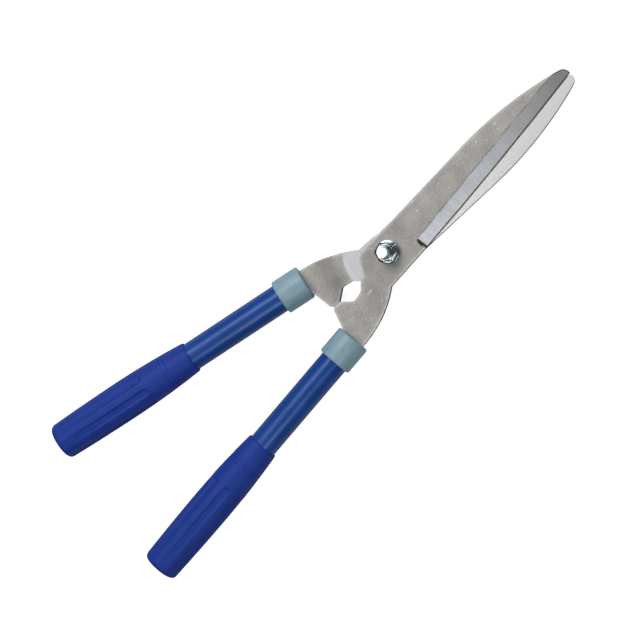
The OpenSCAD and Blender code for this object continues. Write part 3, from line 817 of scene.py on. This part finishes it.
def grip_radius(s):
    """Radius of the plain grip at a distance from its rim."""
    rim, peak, end = GRIP_R
    if s < GRIP_PEAK:
        return peak - (peak - rim) * (1 - s / GRIP_PEAK) ** 2
    return peak - (peak - end) * ((s - GRIP_PEAK) / (GRIP_LENGTH - GRIP_PEAK)) ** 2


def grip_stations():
    """Distances along the grip at which its outline gets a ring of vertices."""
    body_end = GRIP_LENGTH - END_ROUND
    stations = [SHOULDER + (body_end - SHOULDER) * i / GRIP_RINGS for i in range(GRIP_RINGS + 1)]
    stations += [FLUTE_START + FLUTE_NOSE_STEP * i for i in range(-2, 14)]
    for ring in RINGS:
        stations += [ring + RING_W * i / 6 for i in range(-1, 8)]
    stations.sort()
    return [s for s, after in zip(stations, stations[1:] + [1]) if after - s > CLOSEST_RINGS]


def flute_cut(turn, s, hand):
    """How deep the flutes cut below the plain grip at a place on it."""
    part = 360 / FLUTES
    off = (turn - FLUTE_FIRST[hand] + part / 2) % part - part / 2
    across = math.radians(off) * grip_radius(s)
    nose = max(0.0, FLUTE_START + FLUTE_HALF_W - s)
    away = math.hypot(across, nose) / FLUTE_HALF_W
    if away >= 1:
        return 0.0
    floor = 1 - away**FLUTE_FLATNESS
    depth = FLUTE_DEPTH - (GRIP_R[1] - grip_radius(s)) * (FLUTE_FADE if s > GRIP_PEAK else 0)
    return max(0.0, depth) * floor


def ring_cut(s):
    """How deep the fine rings cut at a distance from the rim."""
    for ring in RINGS:
        if ring <= s <= ring + RING_W:
            return RING_DEPTH * min(1.0, (s - ring) / RING_SIDE, (ring + RING_W - s) / RING_SIDE)
    return 0.0


def moulded_polypropylene():
    """Moulded polypropylene: matt violet blue, with a fine eroded mould skin and a soft wax-like sheen."""
    material, tree, shader, place = new_material("moulded_polypropylene")
    cloud = add_node(tree, "ShaderNodeTexNoise", {"Vector": place, "Scale": 1000 / 11.0, "Detail": 3.0})
    skin = add_node(tree, "ShaderNodeTexNoise", {"Vector": place, "Scale": 1000 / 0.7, "Detail": 3.0})
    tone = add_node(tree, "ShaderNodeValToRGB", {"Fac": cloud.outputs["Fac"]})
    tone.color_ramp.elements[0].position = 0.3
    tone.color_ramp.elements[0].color = linear("#1b3fa6")
    tone.color_ramp.elements[1].position = 0.7
    tone.color_ramp.elements[1].color = linear("#2146ad")
    rough = add_node(
        tree, "ShaderNodeMapRange", {"Value": cloud.outputs["Fac"], "To Min": 0.52, "To Max": 0.62}
    )
    bump = add_node(
        tree, "ShaderNodeBump", {"Height": skin.outputs["Fac"], "Strength": 0.25, "Distance": 0.0001}
    )
    tree.links.new(tone.outputs[0], shader.inputs["Base Color"])
    tree.links.new(rough.outputs[0], shader.inputs["Roughness"])
    tree.links.new(bump.outputs[0], shader.inputs["Normal"])
    shader.inputs["IOR"].default_value = 1.49
    shader.inputs["Specular IOR Level"].default_value = 0.3
    return material


polypropylene = moulded_polypropylene()
for hand in HANDS:
    end_r = grip_radius(GRIP_LENGTH)
    body_end = GRIP_LENGTH - END_ROUND
    top = GRIP_LENGTH - END_DOME
    profile = [(0, BORE_END), (BORE_R, BORE_END), (BORE_R, BORE_CHAMFER[1]), (BORE_R + BORE_CHAMFER[0], 0)]
    turns = [math.radians(90 * i / 6) for i in range(6)]
    profile += [
        (GRIP_R[0] - SHOULDER * 0.75 * (1 - math.sin(a)), SHOULDER * (1 - math.cos(a))) for a in turns
    ]
    profile += [(grip_radius(s), s) for s in grip_stations()]
    turns = [math.radians(90 * i / 8) for i in range(1, 9)]
    profile += [
        (end_r - END_ROUND + END_ROUND * math.cos(a), body_end + (END_ROUND - END_DOME) * math.sin(a))
        for a in turns
    ]
    profile += [((end_r - END_ROUND) * f, top + END_DOME * (1 - f * f)) for f in (0.8, 0.6, 0.4, 0.2)]
    profile += [(0, GRIP_LENGTH)]
    bm = spun(profile, GRIP_STEPS)
    for vert in bm.verts:
        reach = math.hypot(vert.co.x, vert.co.y)
        if reach < BORE_R + 0.0006 or vert.co.z < SHOULDER - 1e-6:
            continue
        s = min(vert.co.z, body_end)
        turn = math.degrees(math.atan2(vert.co.y, vert.co.x))
        fade = min(1.0, max(0.0, (GRIP_LENGTH - vert.co.z) / END_ROUND))
        cut = flute_cut(turn, s, hand) * fade + ring_cut(vert.co.z)
        vert.co.x *= (reach - cut) / reach
        vert.co.y *= (reach - cut) / reach
    # Turned about Z with the angle counted from X: laid along the handle, Z goes to X and X to Z.
    lay = Matrix(((0, 0, 1, GRIP_FROM[hand]), (0, -1, 0, 0), (1, 0, 0, 0), (0, 0, 0, 1)))
    bmesh.ops.transform(bm, matrix=handle_frame(hand) @ lay, verts=bm.verts)
    bmesh.ops.recalc_face_normals(bm, faces=bm.faces)
    name = f"{hand}_fluted_grip"
    finish_piece(bm, name, [polypropylene], f"{hand}_half", f"{hand}_grip", smooth=60)

# ---------------------------------------------------------------------------------------------------------
# Sleeves and pins inside the handles. A moulded sleeve fills the tube round the tang, and one cross pin
# goes through tube, sleeve and tang. The collar hides both, so the CAD shapes stay.
# ---------------------------------------------------------------------------------------------------------


def glass_filled_nylon():
    """Glass-filled nylon: dark grey and dull, with short pale fibre streaks in its skin."""
    material, tree, shader, place = new_material("glass_filled_nylon")
    fibre_at = add_node(
        tree, "ShaderNodeMapping", {"Vector": place, "Scale": (1000 / 3.0, 1000 / 0.5, 1000 / 0.5)}
    )
    fibre = add_node(tree, "ShaderNodeTexNoise", {"Vector": fibre_at.outputs[0], "Scale": 1.0, "Detail": 2.0})
    tone = add_node(tree, "ShaderNodeValToRGB", {"Fac": fibre.outputs["Fac"]})
    tone.color_ramp.elements[0].position = 0.4
    tone.color_ramp.elements[0].color = linear("#2d2e30")
    tone.color_ramp.elements[1].position = 0.75
    tone.color_ramp.elements[1].color = linear("#505255")
    tree.links.new(tone.outputs[0], shader.inputs["Base Color"])
    shader.inputs["Roughness"].default_value = 0.62
    shader.inputs["IOR"].default_value = 1.53
    return material


def dress_node(node, material):
    """Gives a CAD node that stays its material."""
    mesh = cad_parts[node].data
    mesh.materials.clear()
    mesh.materials.append(material)


filled_nylon = glass_filled_nylon()
for hand in HANDS:
    dress_node(f"{hand}_tang_sleeve", filled_nylon)
    dress_node(f"{hand}_tang_pin", zinc)
